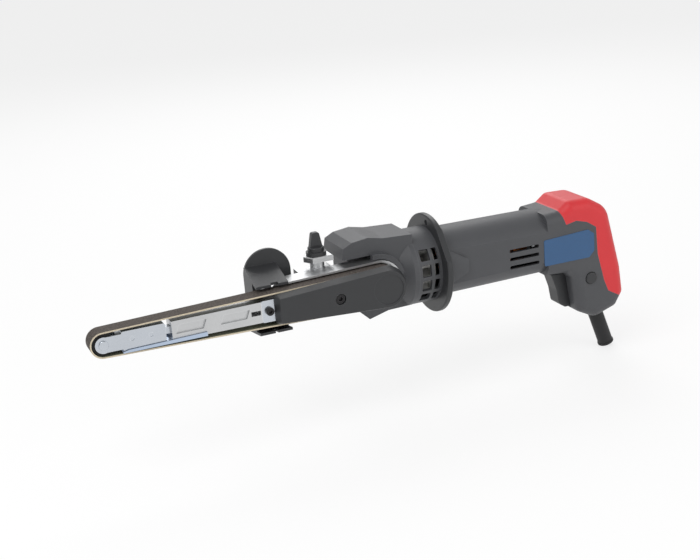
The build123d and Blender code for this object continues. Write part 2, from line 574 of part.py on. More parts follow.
with BuildPart() as gear_housing:
    slab(GEAR_PROFILE, SNOUT_FAR_Y, 2 * MOTOR_Y - GEAR_NEAR_Y)
    with BuildSketch(side(SNOUT_FAR_Y)):
        with BuildLine():
            Polyline(*NEAR_PROFILE, close=True)
        make_face()
        with Locations((DRIVE_X, 0)):
            Circle(RIM_RADIUS + BODY_GAP, mode=Mode.SUBTRACT)
    extrude(amount=SNOUT_FAR_Y - GEAR_NEAR_Y)
    # cone that opens out to the round rear plate under the vented neck
    with BuildSketch(section(DRIVE_X + RIM_RADIUS + 2)):
        Circle(NECK_RADIUS - 6)
    with BuildSketch(section(REAR_PLATE_X)):
        Circle(NECK_RADIUS)
    loft()
    bar_x(NECK_RADIUS, REAR_PLATE_X, GEAR_REAR_X)
    # raised collar that follows the belt housing's rim over the top of the drive pulley
    with BuildSketch(side(GEAR_NEAR_Y)):
        with Locations((DRIVE_X, 0)):
            Circle(COLLAR_OUTER)
            Circle(RIM_RADIUS + BODY_GAP, mode=Mode.SUBTRACT)
        with Locations((DRIVE_X + 2 * COLLAR_OUTER - 3, 0)):
            Rectangle(4 * COLLAR_OUTER, 4 * COLLAR_OUTER, mode=Mode.INTERSECT)
        with Locations((DRIVE_X, 2 * COLLAR_OUTER - 4)):
            Rectangle(4 * COLLAR_OUTER, 4 * COLLAR_OUTER, mode=Mode.INTERSECT)
    extrude(amount=GEAR_NEAR_Y - COLLAR_NEAR_Y)
    bar_y(DRIVE_X, 0, SNOUT_RADIUS, GEAR_NEAR_Y, SNOUT_FAR_Y)
    bar_y(DRIVE_X, 0, CAVITY_RADIUS, 2 * MOTOR_Y - GEAR_NEAR_Y, GEAR_FAR_Y)
    # chamber of the bevel gears, with a seat for each bearing
    bar_y(DRIVE_X, 0, CAVITY_RADIUS, CAVITY_NEAR_Y, CAVITY_FAR_Y, Mode.SUBTRACT)
    bar_y(DRIVE_X, 0, SPINDLE_RADIUS + 2, GEAR_NEAR_Y, CAVITY_NEAR_Y, Mode.SUBTRACT)
    bar_y(DRIVE_X, 0, NEAR_BEARING[0], GEAR_NEAR_Y - 1, NEAR_BEARING_Y + NEAR_BEARING[1], Mode.SUBTRACT)
    bar_y(DRIVE_X, 0, FAR_BEARING[0], CAVITY_FAR_Y, GEAR_FAR_Y, Mode.SUBTRACT)
    bar_x(PINION_ROOM, DRIVE_X, FRONT_BEARING_X, Mode.SUBTRACT)
    bar_x(FRONT_BEARING[0], FRONT_BEARING_X, FRONT_BEARING_X + FRONT_BEARING[1], Mode.SUBTRACT)
    bar_x(SHAFT_RADIUS + 3, FRONT_BEARING_X, GEAR_REAR_X, Mode.SUBTRACT)
gear_housing.part.label = "gear_housing"
export_step(gear_housing.part, "parts/gear_housing.step")

with BuildPart() as bearing_cap:
    bar_y(DRIVE_X, 0, CAVITY_RADIUS, GEAR_FAR_Y, GEAR_FAR_Y + 2)
    fillet(bearing_cap.edges().group_by(Axis.Y)[-1], 0.8)
bearing_cap.part.label = "bearing_cap"
export_step(bearing_cap.part, "parts/bearing_cap.step")


# ---------------------------------------------------------------------------------------------
# Bearings
# ---------------------------------------------------------------------------------------------
def ball_bearing(seat, outer_radius, bore_radius, width):
    """Shielded ball bearing that stands on a plane, its shields set back from both faces."""
    ring = 0.22 * (outer_radius - bore_radius)
    with BuildPart() as bearing:
        with BuildSketch(seat):
            Circle(outer_radius)
            Circle(bore_radius, mode=Mode.SUBTRACT)
        extrude(amount=width)
        for face_plane, way in ((seat, 1), (seat.offset(width), -1)):
            with BuildSketch(face_plane):
                Circle(outer_radius - ring)
                Circle(bore_radius + ring, mode=Mode.SUBTRACT)
            extrude(amount=way * 0.4, mode=Mode.SUBTRACT)
    return bearing.part


def across(x, z, y):
    """Plane square to a spindle at x, z, its origin on the spindle, facing the near side."""
    return Plane(origin=at(x, y, z), x_dir=(1, 0, 0), z_dir=(0, -1, 0))


near_bearing = ball_bearing(across(DRIVE_X, 0, NEAR_BEARING_Y + NEAR_BEARING[1]), NEAR_BEARING[0],
                            SPINDLE_RADIUS + TURN_GAP, NEAR_BEARING[1])
near_bearing.label = "spindle_near_bearing"
export_step(near_bearing, "parts/spindle_near_bearing.step")

far_bearing = ball_bearing(across(DRIVE_X, 0, CAVITY_FAR_Y + FAR_BEARING[1]), FAR_BEARING[0],
                           SPINDLE_RADIUS + TURN_GAP, FAR_BEARING[1])
far_bearing.label = "spindle_far_bearing"
export_step(far_bearing, "parts/spindle_far_bearing.step")

front_bearing = ball_bearing(section(FRONT_BEARING_X), FRONT_BEARING[0], SHAFT_RADIUS + TURN_GAP,
                             FRONT_BEARING[1])
front_bearing.label = "motor_front_bearing"
export_step(front_bearing, "parts/motor_front_bearing.step")

rear_bearing = ball_bearing(section(REAR_BEARING_X), REAR_BEARING[0], SHAFT_RADIUS + TURN_GAP, REAR_BEARING[1])
rear_bearing.label = "motor_rear_bearing"
export_step(rear_bearing, "parts/motor_rear_bearing.step")

# ---------------------------------------------------------------------------------------------
# Drive pulley, spindle and straight bevel gears
# ---------------------------------------------------------------------------------------------
SPINDLE_NEAR_Y = -2.0
with BuildPart() as output_spindle:
    bar_y(DRIVE_X, 0, SPINDLE_RADIUS, SPINDLE_NEAR_Y, GEAR_FAR_Y - 0.4)
    bar_y(DRIVE_X, 0, SCREW_RADIUS, SPINDLE_NEAR_Y, SPINDLE_NEAR_Y + 9, Mode.SUBTRACT)
output_spindle.part.label = "output_spindle"
export_step(output_spindle.part, "parts/output_spindle.step")

with BuildPart() as drive_pulley:
    bar_y(DRIVE_X, 0, DRIVE_RADIUS, -BELT_HALF, BELT_HALF)
    chamfer(drive_pulley.edges().filter_by(GeomType.CIRCLE), 0.4)
    bar_y(DRIVE_X, 0, DRIVE_RADIUS - 2.6, -BELT_HALF, SPINDLE_NEAR_Y - 1, Mode.SUBTRACT)
    bar_y(DRIVE_X, 0, SPINDLE_RADIUS, SPINDLE_NEAR_Y, BELT_WIDTH, Mode.SUBTRACT)
    bar_y(DRIVE_X, 0, SCREW_RADIUS, -BELT_WIDTH, BELT_WIDTH, Mode.SUBTRACT)
drive_pulley.part.label = "drive_pulley"
export_step(drive_pulley.part, "parts/drive_pulley.step")

pulley_screw = socket_screw(DRIVE_X, 0, SPINDLE_NEAR_Y - 1, SPINDLE_NEAR_Y + 8.5, 4.2, SCREW_RADIUS, 2.4)
pulley_screw.label = "pulley_screw"
export_step(pulley_screw, "parts/pulley_screw.step")

ADDENDUM = 0.85 * MODULE
DEDENDUM = 1.15 * MODULE
CONE_LENGTH = MODULE * sqrt(PINION_TEETH ** 2 + GEAR_TEETH ** 2) / 2
PRESSURE_ANGLE = 20.0
OUTER_CONE = CONE_LENGTH - 0.9  # the teeth lie between these two distances from the common apex
INNER_CONE = OUTER_CONE - FACE_WIDTH


def bevel_profile(teeth, mate_teeth, cone_distance, phase):
    """Cross-section of a straight bevel gear where its pitch cone is cone_distance long."""
    pitch_angle = atan(teeth / mate_teeth)
    depth = cone_distance * cos(pitch_angle)
    scale = cone_distance / CONE_LENGTH
    tip_radius = depth * tan(pitch_angle + atan(ADDENDUM / CONE_LENGTH))
    root_radius = depth * tan(pitch_angle - atan(DEDENDUM / CONE_LENGTH))
    pitch_radius = depth * tan(pitch_angle)
    half_pitch = scale * (pi * MODULE / 2 - TOOTH_BACKLASH) / 2
    lean = tan(radians(PRESSURE_ANGLE)) * scale
    half_tip = (half_pitch - ADDENDUM * lean) / pitch_radius
    half_root = (half_pitch + DEDENDUM * lean) / pitch_radius
    points = []
    for tooth in range(teeth):
        middle = 2 * pi * tooth / teeth + phase
        for radius, angle in ((root_radius, middle - half_root), (tip_radius, middle - half_tip),
                              (tip_radius, middle + half_tip), (root_radius, middle + half_root)):
            points.append((radius * cos(angle), radius * sin(angle)))
    with BuildSketch() as face:
        with BuildLine():
            Polyline(*points, close=True)
        make_face()
    return depth, face.sketch


def bevel_gear(axis, teeth, mate_teeth, phase, bore, hub_radius, hub_end):
    """Bevel gear on a plane at the apex, opening along the plane's normal, with a hub behind it."""
    inner_depth, inner_face = bevel_profile(teeth, mate_teeth, INNER_CONE, phase)
    outer_depth, outer_face = bevel_profile(teeth, mate_teeth, OUTER_CONE, phase)
    with BuildPart() as gear:
        with BuildSketch(axis.offset(inner_depth)):
            add(inner_face)
        with BuildSketch(axis.offset(outer_depth)):
            add(outer_face)
        loft(ruled=True)
        with BuildSketch(axis.offset(outer_depth)):
            Circle(hub_radius)
        extrude(amount=hub_end - outer_depth)
        with BuildSketch(axis):
            Circle(bore)
        extrude(amount=4 * hub_end, mode=Mode.SUBTRACT)
    return gear.part


spindle_axis = Plane(origin=at(DRIVE_X, MOTOR_Y, 0), x_dir=(1, 0, 0), z_dir=(0, 1, 0))
motor_axis = Plane(origin=at(DRIVE_X, MOTOR_Y, 0), x_dir=(0, 1, 0), z_dir=(1, 0, 0))
bevel_wheel = bevel_gear(spindle_axis, GEAR_TEETH, PINION_TEETH, pi / GEAR_TEETH, SPINDLE_RADIUS, 7.0,
                         CAVITY_FAR_Y - MOTOR_Y - 0.3)
bevel_wheel.label = "bevel_gear"
export_step(bevel_wheel, "parts/bevel_gear.step")

bevel_pinion = bevel_gear(motor_axis, PINION_TEETH, GEAR_TEETH, 0.0, SHAFT_RADIUS, 5.0,
                          FRONT_BEARING_X - DRIVE_X - 0.3)
bevel_pinion.label = "bevel_pinion"
export_step(bevel_pinion, "parts/bevel_pinion.step")

# ---------------------------------------------------------------------------------------------
# Vented neck and guard flange
# ---------------------------------------------------------------------------------------------
NECK_END_X = GEAR_REAR_X + NECK_LENGTH
HOUSE_FRONT_X = NECK_END_X + FLANGE_THICKNESS
WINDOW_ROWS = 4
WINDOW_PITCH = 24.0             # degrees between rows
WINDOW_MIDDLE = -6.0            # height angle of the rows' middle
WINDOW_HEIGHT = 8.6


def vent_window(x_middle, width, angle):
    """Radial window through the neck, angle degrees above the near or far side."""
    radial = Plane(origin=at(x_middle, MOTOR_Y, 0), x_dir=(1, 0, 0),
                   z_dir=(0, -cos(radians(angle)), sin(radians(angle))))
    with BuildSketch(radial.offset(NECK_RADIUS / 2)) as window:
        RectangleRounded(width, WINDOW_HEIGHT, 1.0)
    extrude(window.sketch, amount=NECK_RADIUS, mode=Mode.SUBTRACT)


with BuildPart() as vented_neck:
    bar_x(NECK_RADIUS, GEAR_REAR_X, NECK_END_X)
    bar_x(NECK_RADIUS - NECK_WALL, GEAR_REAR_X, NECK_END_X, Mode.SUBTRACT)
    for row in range(WINDOW_ROWS):
        rise = WINDOW_MIDDLE + (row - (WINDOW_ROWS - 1) / 2) * WINDOW_PITCH
        for angle in (rise, 180 - rise):
            vent_window(GEAR_REAR_X + 5.6, 7.2, angle)
            vent_window(GEAR_REAR_X + 13.4, 4.4, angle)
vented_neck.part.label = "vented_neck"
export_step(vented_neck.part, "parts/vented_neck.step")

FLANGE_BORE = NECK_RADIUS - NECK_WALL - 3.0
FLAT_FROM_AXIS = FLANGE_RADIUS - 2.4
hole_angle = radians(HANG_HOLE_ANGLE)
with BuildPart() as guard_flange:
    with BuildSketch(section(NECK_END_X)):
        Circle(FLANGE_RADIUS)
        # flat on the upper near side
        with Locations(Rotation(0, 0, 145) * Location((FLAT_FROM_AXIS + FLANGE_RADIUS, 0))):
            Rectangle(2 * FLANGE_RADIUS, 2 * FLANGE_RADIUS, mode=Mode.SUBTRACT)
        Circle(FLANGE_BORE, mode=Mode.SUBTRACT)
        with Locations((HANG_HOLE_FROM_AXIS * cos(hole_angle), HANG_HOLE_FROM_AXIS * sin(hole_angle))):
            Circle(HANG_HOLE_RADIUS, mode=Mode.SUBTRACT)
    extrude(amount=FLANGE_THICKNESS)
    rim = guard_flange.edges().filter_by(GeomType.CIRCLE).group_by(SortBy.RADIUS)[-1]
    fillet(rim, 1.2)
guard_flange.part.label = "guard_flange"
export_step(guard_flange.part, "parts/guard_flange.step")

# ---------------------------------------------------------------------------------------------
# Motor housing and grip: two shells that meet on the motor axis, with a soft red cover behind
# ---------------------------------------------------------------------------------------------
FLAT_START_X = 262.0
GRIP_OUTLINE = [        # x, z and corner radius, clockwise from the top of the motor housing
    (328.0, 23.0, 0), (340.0, 24.0, 4), (348.0, 30.0, 5), (365.0, 29.4, 12), (380.5, 20.0, 16),
    (390.8, -27.0, 30), (392.8, -47.0, 6), (386.0, -57.5, 5), (368.0, -63.2, 8), (353.5, -55.8, 5),
    (349.5, -29.0, 3), (345.0, -24.2, 3), (328.0, -23.0, 0)]
RED_OUTLINE = [(336.0, 34.0), (343.5, 14.0), (352.0, 15.6), (361.0, 13.0), (368.5, 8.0), (369.5, -13.0),
               (374.5, -34.0), (378.0, -43.0), (392.5, -51.5), (400.0, -51.5), (400.0, 34.0)]
GRIP_FRONT_X = GRIP_OUTLINE[0][0]
NEAR_FACE_Y = MOTOR_Y - HALF_WIDTH


def house_radius(x):
    """Outer radius of the tapered motor housing at x."""
    return HOUSE_RADIUS - HOUSE_TAPER * (x - HOUSE_FRONT_X) / (HOUSE_END_X - HOUSE_FRONT_X)


def envelope(inset):
    """Solid of the motor housing and the grip, drawn in by an even inset."""
    depth = HALF_WIDTH - inset
    with BuildPart() as grip:
        with BuildSketch(side(MOTOR_Y + depth)):
            with BuildLine():
                FilletPolyline(*[(x, z) for x, z, corner in GRIP_OUTLINE],
                               radius=[corner for x, z, corner in GRIP_OUTLINE], close=True)
            make_face()
            if inset:
                offset(amount=-inset)
        extrude(amount=2 * depth)
        front_x = GRIP_FRONT_X + inset - PORT_X
        rim = [edge for edge in grip.edges()
               if abs(edge.position_at(0.5).X - front_x) > 1
               and abs(abs(edge.position_at(0.5).Y - MOTOR_Y + PORT_Y) - depth) < 0.01]
        fillet(rim, max(GRIP_EDGE_RADIUS - inset, 1.0))
    with BuildPart() as body:
        with BuildSketch(section(HOUSE_FRONT_X)):
            Circle(house_radius(HOUSE_FRONT_X) - inset)
        with BuildSketch(section(HOUSE_END_X)):
            Circle(house_radius(HOUSE_END_X) - inset)
        loft()
        # flat sides that start in a shallow V behind the flange
        flats = [(HOUSE_FRONT_X + 4.5, 40), (HOUSE_FRONT_X + 4.5, 12), (FLAT_START_X, 4.5),
                 (FLAT_START_X, -4.5), (HOUSE_FRONT_X + 4.5, -12), (HOUSE_FRONT_X + 4.5, -40),
                 (HOUSE_END_X + 1, -40), (HOUSE_END_X + 1, 40)]
        slab(flats, MOTOR_Y - 2 * HALF_WIDTH, MOTOR_Y - depth, mode=Mode.SUBTRACT)
        slab(flats, MOTOR_Y + depth, MOTOR_Y + 2 * HALF_WIDTH, mode=Mode.SUBTRACT)
        add(grip.part)
    return body.part


SCREW_PLACES = ((345.0, -13.5), (352.0, 4.3), (366.0, -18.5))
BOSS_RADIUS = 3.5
VENT_FRONT_X, VENT_REAR_X, VENT_HEIGHT = 296.5, 320.5, 2.6
VENT_LEVELS = (2.5, -3.6, -9.7)
sleeve_way = Vector(sin(radians(SLEEVE_TILT)), 0, -cos(radians(SLEEVE_TILT)))
sleeve_plane = Plane(origin=at(SLEEVE_X, MOTOR_Y, SLEEVE_Z), x_dir=(0, 1, 0), z_dir=sleeve_way)
SLEEVE_INSIDE = 7.0
SWITCH_FRONT_X, SWITCH_REAR_X = 363.5, 376.0
SWITCH_LOW, SWITCH_HIGH = -50.0, -26.0
SWITCH_HALF = 8.0
BOARD_Z = 8.0
outer_body = envelope(0)
red_core = envelope(RED_SKIN)

with BuildPart() as red_region:
    slab(RED_OUTLINE, MOTOR_Y - 2 * HALF_WIDTH, MOTOR_Y + 2 * HALF_WIDTH)

with BuildPart() as hollow:
    add(envelope(SHELL))
    # web across the housing that holds the rear bearing
    bar_x(2 * HOUSE_RADIUS, REAR_BEARING_X - 1, REAR_BEARING_X + REAR_BEARING[1] + 1.5, Mode.SUBTRACT)

with BuildPart() as house:
    add(outer_body)
    add(hollow.part, mode=Mode.SUBTRACT)
    for boss_x, boss_z in SCREW_PLACES:
        bar_y(boss_x, boss_z, BOSS_RADIUS, NEAR_FACE_Y + 1, MOTOR_Y + HALF_WIDTH - 1)
    bar_y(SWITCH_REAR_X - 7, SWITCH_LOW + 6, BOSS_RADIUS, NEAR_FACE_Y + 1, MOTOR_Y + HALF_WIDTH - 1)
    block((SWITCH_FRONT_X, SWITCH_REAR_X), (MOTOR_Y - SWITCH_HALF, MOTOR_Y + SWITCH_HALF),
          (SWITCH_LOW, SWITCH_HIGH), Mode.SUBTRACT)
    bar_x(REAR_BEARING[0], REAR_BEARING_X, REAR_BEARING_X + REAR_BEARING[1], Mode.SUBTRACT)
    bar_x(SHAFT_RADIUS + 2, REAR_BEARING_X - 2, REAR_BEARING_X + REAR_BEARING[1], Mode.SUBTRACT)
    add(red_region.part.intersect(outer_body.cut(red_core)), mode=Mode.SUBTRACT)
    # cooling slots, one bank on each side
    for vent_z in VENT_LEVELS:
        for near_y, far_y in ((0, NEAR_FACE_Y + SHELL + 1), (MOTOR_Y + HALF_WIDTH - SHELL - 1, 2 * MOTOR_Y)):
            slab([(VENT_FRONT_X, vent_z - VENT_HEIGHT / 2), (VENT_REAR_X, vent_z - VENT_HEIGHT / 2),
                  (VENT_REAR_X, vent_z + VENT_HEIGHT / 2), (VENT_FRONT_X, vent_z + VENT_HEIGHT / 2)],
                 near_y, far_y, 1.0, Mode.SUBTRACT)
    # openings for the trigger, the lock button, the speed dial and the cable sleeve
    block((GRIP_FRONT_X, SWITCH_FRONT_X), (MOTOR_Y - TRIGGER_WIDTH / 2 - 0.5, MOTOR_Y + TRIGGER_WIDTH / 2 + 0.5),
          (-55.2, -26.0), Mode.SUBTRACT)
    bar_y(LOCK_X, LOCK_Z, LOCK_RADIUS + 0.3, 0, NEAR_FACE_Y + SHELL + 1, Mode.SUBTRACT)
    bar_y(DIAL_X, DIAL_Z, DIAL_RADIUS + 0.5, MOTOR_Y - DIAL_WIDTH / 2 - 0.4,
          MOTOR_Y + DIAL_WIDTH / 2 + 0.4, Mode.SUBTRACT)
    with BuildSketch(sleeve_plane.offset(-SLEEVE_INSIDE)):
        Circle(SLEEVE_RADIUS)
    extrude(amount=SLEEVE_LENGTH, mode=Mode.SUBTRACT)
    # holes of the screws, which enter from the far side
    for boss_x, boss_z in SCREW_PLACES:
        bar_y(boss_x, boss_z, SCREW_RADIUS, NEAR_FACE_Y + 4, MOTOR_Y + HALF_WIDTH, Mode.SUBTRACT)
        bar_y(boss_x, boss_z, 2.9, MOTOR_Y + HALF_WIDTH - 4, 3 * MOTOR_Y, Mode.SUBTRACT)

middle = side(MOTOR_Y)
near_shell = split(house.part, bisect_by=middle, keep=Keep.TOP)
far_shell = split(house.part, bisect_by=middle, keep=Keep.BOTTOM)
near_shell.label = "housing_near"
far_shell.label = "housing_far"
export_step(near_shell, "parts/housing_near.step")
export_step(far_shell, "parts/housing_far.step")

with BuildPart() as rear_cover:
    add(red_region.part.intersect(outer_body.cut(red_core)))
    bar_y(DIAL_X, DIAL_Z, DIAL_RADIUS + 0.5, MOTOR_Y - DIAL_WIDTH / 2 - 0.4,
          MOTOR_Y + DIAL_WIDTH / 2 + 0.4, Mode.SUBTRACT)
rear_cover.part.label = "rear_cover"
export_step(rear_cover.part, "parts/rear_cover.step")

LABEL_THICKNESS = 0.3
with BuildPart() as label_plate:
    slab([(324.6, -14.0), (324.6, 5.5), (361.5, 7.2), (366.5, 3.5), (366.5, -9.5), (362.0, -14.0)],
         NEAR_FACE_Y - LABEL_THICKNESS, NEAR_FACE_Y, 1.2)
label_plate.part.label = "label_plate"
export_step(label_plate.part, "parts/label_plate.step")


def screw_x_far(x, z):
    """Housing screw that enters from the far side."""
    seat_y = MOTOR_Y + HALF_WIDTH - 4
    with BuildPart() as screw:
        bar_y(x, z, 2.7, seat_y, seat_y + 2.0)
        bar_y(x, z, SCREW_RADIUS, NEAR_FACE_Y + 5, seat_y)
        bar_y(x, z, 1.2, seat_y + 1.0, seat_y + 3.0, Mode.SUBTRACT)
    return screw.part


housing_screws = Compound(label="housing_screws", children=[screw_x_far(x, z) for x, z in SCREW_PLACES])
export_step(housing_screws, "parts/housing_screws.step")

# ---------------------------------------------------------------------------------------------
# Motor: shaft, armature, commutator, fan, stator, coils and brush gear
# ---------------------------------------------------------------------------------------------
ARMATURE_X = (257.0, 297.0)
COMMUTATOR_X = (306.0, 318.0)
FAN_X = (GEAR_REAR_X + 3.0, GEAR_REAR_X + 14.5)
SLOTS = 12
SHAFT_FRONT_X = DRIVE_X + 7.0

with BuildPart() as motor_shaft:
    bar_x(SHAFT_RADIUS, SHAFT_FRONT_X, REAR_BEARING_X + REAR_BEARING[1] - 0.5)
    chamfer(motor_shaft.edges().filter_by(GeomType.CIRCLE), 0.4)
motor_shaft.part.label = "motor_shaft"
export_step(motor_shaft.part, "parts/motor_shaft.step")

with BuildPart() as armature:
    with BuildSketch(section(ARMATURE_X[0])):
        Circle(ARMATURE_RADIUS)
        Circle(SHAFT_RADIUS, mode=Mode.SUBTRACT)
        with PolarLocations(ARMATURE_RADIUS - 2.2, SLOTS):
            SlotOverall(5.5, 2.2, mode=Mode.SUBTRACT)
    extrude(amount=ARMATURE_X[1] - ARMATURE_X[0])
armature.part.label = "armature"
export_step(armature.part, "parts/armature.step")

with BuildPart() as armature_winding:
    for start, end in ((ARMATURE_X[0] - 5, ARMATURE_X[0]), (ARMATURE_X[1], ARMATURE_X[1] + 7)):
        bar_x(ARMATURE_RADIUS - 2, start, end)
    fillet(armature_winding.edges().filter_by(GeomType.CIRCLE).group_by(Axis.X)[0], 1.8)
    fillet(armature_winding.edges().filter_by(GeomType.CIRCLE).group_by(Axis.X)[-1], 1.8)
    bar_x(SHAFT_RADIUS, FAN_X[0], COMMUTATOR_X[1], Mode.SUBTRACT)
armature_winding.part.label = "armature_winding"
export_step(armature_winding.part, "parts/armature_winding.step")

with BuildPart() as commutator:
    bar_x(COMMUTATOR_RADIUS + 1, COMMUTATOR_X[0], COMMUTATOR_X[0] + 2)
    bar_x(COMMUTATOR_RADIUS, COMMUTATOR_X[0] + 2, COMMUTATOR_X[1])
    bar_x(SHAFT_RADIUS, COMMUTATOR_X[0], COMMUTATOR_X[1], Mode.SUBTRACT)
commutator.part.label = "commutator"
export_step(commutator.part, "parts/commutator.step")

FAN_BLADES = 11
with BuildPart() as cooling_fan:
    bar_x(FAN_RADIUS, FAN_X[1] - 1.8, FAN_X[1])
    bar_x(SHAFT_RADIUS + 3.5, FAN_X[0], FAN_X[1])
    with BuildSketch(section(FAN_X[0] + 1)):
        with PolarLocations(FAN_RADIUS - 6.5, FAN_BLADES, rotate=True):
            Rectangle(12.0, 1.4, rotation=20)
    extrude(amount=FAN_X[1] - FAN_X[0] - 2)
    bar_x(SHAFT_RADIUS, FAN_X[0], FAN_X[1], Mode.SUBTRACT)
cooling_fan.part.label = "cooling_fan"
export_step(cooling_fan.part, "parts/cooling_fan.step")

STATOR_X = (ARMATURE_X[0] + 1, ARMATURE_X[1] - 1)
STATOR_RADIUS = house_radius(STATOR_X[1]) - SHELL - 0.1
COIL_SLOT = 7.0                 # half height of the gap between the two poles
with BuildPart() as stator:
    with BuildSketch(section(STATOR_X[0])):
        Circle(STATOR_RADIUS)
        Rectangle(2 * (HALF_WIDTH - SHELL - 0.1), 4 * STATOR_RADIUS, mode=Mode.INTERSECT)
        Circle(ARMATURE_RADIUS + STATOR_GAP, mode=Mode.SUBTRACT)
        for way in (-1, 1):
            with Locations((way * (ARMATURE_RADIUS + 0.5), 0)):
                Rectangle(5.0, 2 * COIL_SLOT, mode=Mode.SUBTRACT)
    extrude(amount=STATOR_X[1] - STATOR_X[0])
stator.part.label = "stator"
export_step(stator.part, "parts/stator.step")

with BuildPart() as field_coils:
    for way in (-1, 1):
        with BuildSketch(section(STATOR_X[0] - 4)):
            with Locations((way * (ARMATURE_RADIUS + 1.8), 0)):
                Rectangle(2.2, 2 * COIL_SLOT - 0.4)
        extrude(amount=STATOR_X[1] - STATOR_X[0] + 8)
field_coils.part.label = "field_coils"
export_step(field_coils.part, "parts/field_coils.step")

BRUSH_X = (COMMUTATOR_X[0] + COMMUTATOR_X[1]) / 2 + 1
BRUSH_END = 18.5
HOLDER_HALF = 4.5
HOLDER_END = sqrt((house_radius(BRUSH_X + 4) - SHELL - 0.15) ** 2 - HOLDER_HALF ** 2)
with BuildPart() as brush_holders:
    for way in (-1, 1):
        low, high = sorted((way * (COMMUTATOR_RADIUS + 1.5), way * HOLDER_END))
        block((BRUSH_X - 4, BRUSH_X + 4), (MOTOR_Y - HOLDER_HALF, MOTOR_Y + HOLDER_HALF), (low, high))
        low, high = sorted((0, way * (BRUSH_END + 0.2)))
        block((BRUSH_X - 3, BRUSH_X + 3), (MOTOR_Y - 3, MOTOR_Y + 3), (low, high), Mode.SUBTRACT)
brush_holders.part.label = "brush_holders"
export_step(brush_holders.part, "parts/brush_holders.step")

with BuildPart() as carbon_brushes:
    for way in (-1, 1):
        low, high = sorted((way * (COMMUTATOR_RADIUS - 2), way * BRUSH_END))
        block((BRUSH_X - 2.9, BRUSH_X + 2.9), (MOTOR_Y - 2.9, MOTOR_Y + 2.9), (low, high))
    bar_x(COMMUTATOR_RADIUS + 0.1, COMMUTATOR_X[0], COMMUTATOR_X[1] + 4, Mode.SUBTRACT)
carbon_brushes.part.label = "carbon_brushes"
export_step(carbon_brushes.part, "parts/carbon_brushes.step")

# ---------------------------------------------------------------------------------------------
# Controls: trigger, switch, lock button, speed dial and board
# ---------------------------------------------------------------------------------------------
TRIGGER_REAR_X = SWITCH_FRONT_X - TRIGGER_TRAVEL - 1.5
with BuildPart() as trigger:
    with BuildSketch(side(MOTOR_Y + TRIGGER_WIDTH / 2)):
        with BuildLine():
            FilletPolyline((338.1, -26.6), (342.6, -40.0), (344.4, -51.0), (349.2, -54.4), (TRIGGER_REAR_X, -54.4),
                           (TRIGGER_REAR_X, -26.6), radius=[1, 12, 3, 2, 0, 0], close=True)
        make_face()
    extrude(amount=TRIGGER_WIDTH)
    fillet(trigger.edges().group_by(Axis.Y)[0].filter_by_position(Axis.X, -1000, TRIGGER_REAR_X - 9 - PORT_X), 1.2)
    fillet(trigger.edges().group_by(Axis.Y)[-1].filter_by_position(Axis.X, -1000, TRIGGER_REAR_X - 9 - PORT_X), 1.2)
    # pocket for the return spring
    bar_x(3.0, TRIGGER_REAR_X - 4, TRIGGER_REAR_X, Mode.SUBTRACT, z=-40.0)
trigger.part.label = "trigger"
export_step(trigger.part, "parts/trigger.step")

TRIGGER_SPRING_X = TRIGGER_REAR_X - 4
trigger_spring = coil_spring(at(TRIGGER_SPRING_X, MOTOR_Y, -40.0), Vector(1, 0, 0), 2.2, 0.35,
                             SWITCH_FRONT_X - TRIGGER_SPRING_X, 4)
trigger_spring.label = "trigger_spring"
export_step(trigger_spring, "parts/trigger_spring.step")

with BuildPart() as switch_module:
    block((SWITCH_FRONT_X, SWITCH_REAR_X), (MOTOR_Y - SWITCH_HALF, MOTOR_Y + SWITCH_HALF),
          (SWITCH_LOW, SWITCH_HIGH))
    chamfer(switch_module.edges().filter_by(Axis.Y), 1.0)
switch_module.part.label = "switch_module"
export_step(switch_module.part, "parts/switch_module.step")

LOCK_FACE_Y = NEAR_FACE_Y - 1.2
LOCK_FLANGE_Y = NEAR_FACE_Y + SHELL + 0.2
LOCK_END_Y = MOTOR_Y - SWITCH_HALF - LOCK_TRAVEL - 0.5
with BuildPart() as lock_button:
    bar_y(LOCK_X, LOCK_Z, LOCK_RADIUS, LOCK_FACE_Y, LOCK_FLANGE_Y)
    fillet(lock_button.edges().group_by(Axis.Y)[0], 0.8)
    bar_y(LOCK_X, LOCK_Z, LOCK_RADIUS + 1.2, LOCK_FLANGE_Y, LOCK_FLANGE_Y + 1.2)
    bar_y(LOCK_X, LOCK_Z, 1.6, LOCK_FLANGE_Y + 1.2, LOCK_END_Y)
lock_button.part.label = "lock_button"
export_step(lock_button.part, "parts/lock_button.step")

lock_spring = coil_spring(at(LOCK_X, LOCK_FLANGE_Y + 1.2, LOCK_Z), Vector(0, 1, 0), 2.4, 0.3,
                          MOTOR_Y - SWITCH_HALF - LOCK_FLANGE_Y - 1.2, 4)
lock_spring.label = "lock_spring"
export_step(lock_spring, "parts/lock_spring.step")

with BuildPart() as speed_dial:
    bar_y(DIAL_X, DIAL_Z, DIAL_RADIUS, MOTOR_Y - DIAL_WIDTH / 2, MOTOR_Y + DIAL_WIDTH / 2)
    with BuildSketch(side(MOTOR_Y + DIAL_WIDTH / 2)):
        with Locations((DIAL_X, DIAL_Z)):
            with PolarLocations(DIAL_RADIUS + 0.2, 20):
                Circle(0.5)
    extrude(amount=DIAL_WIDTH, mode=Mode.SUBTRACT)
speed_dial.part.label = "speed_dial"
export_step(speed_dial.part, "parts/speed_dial.step")

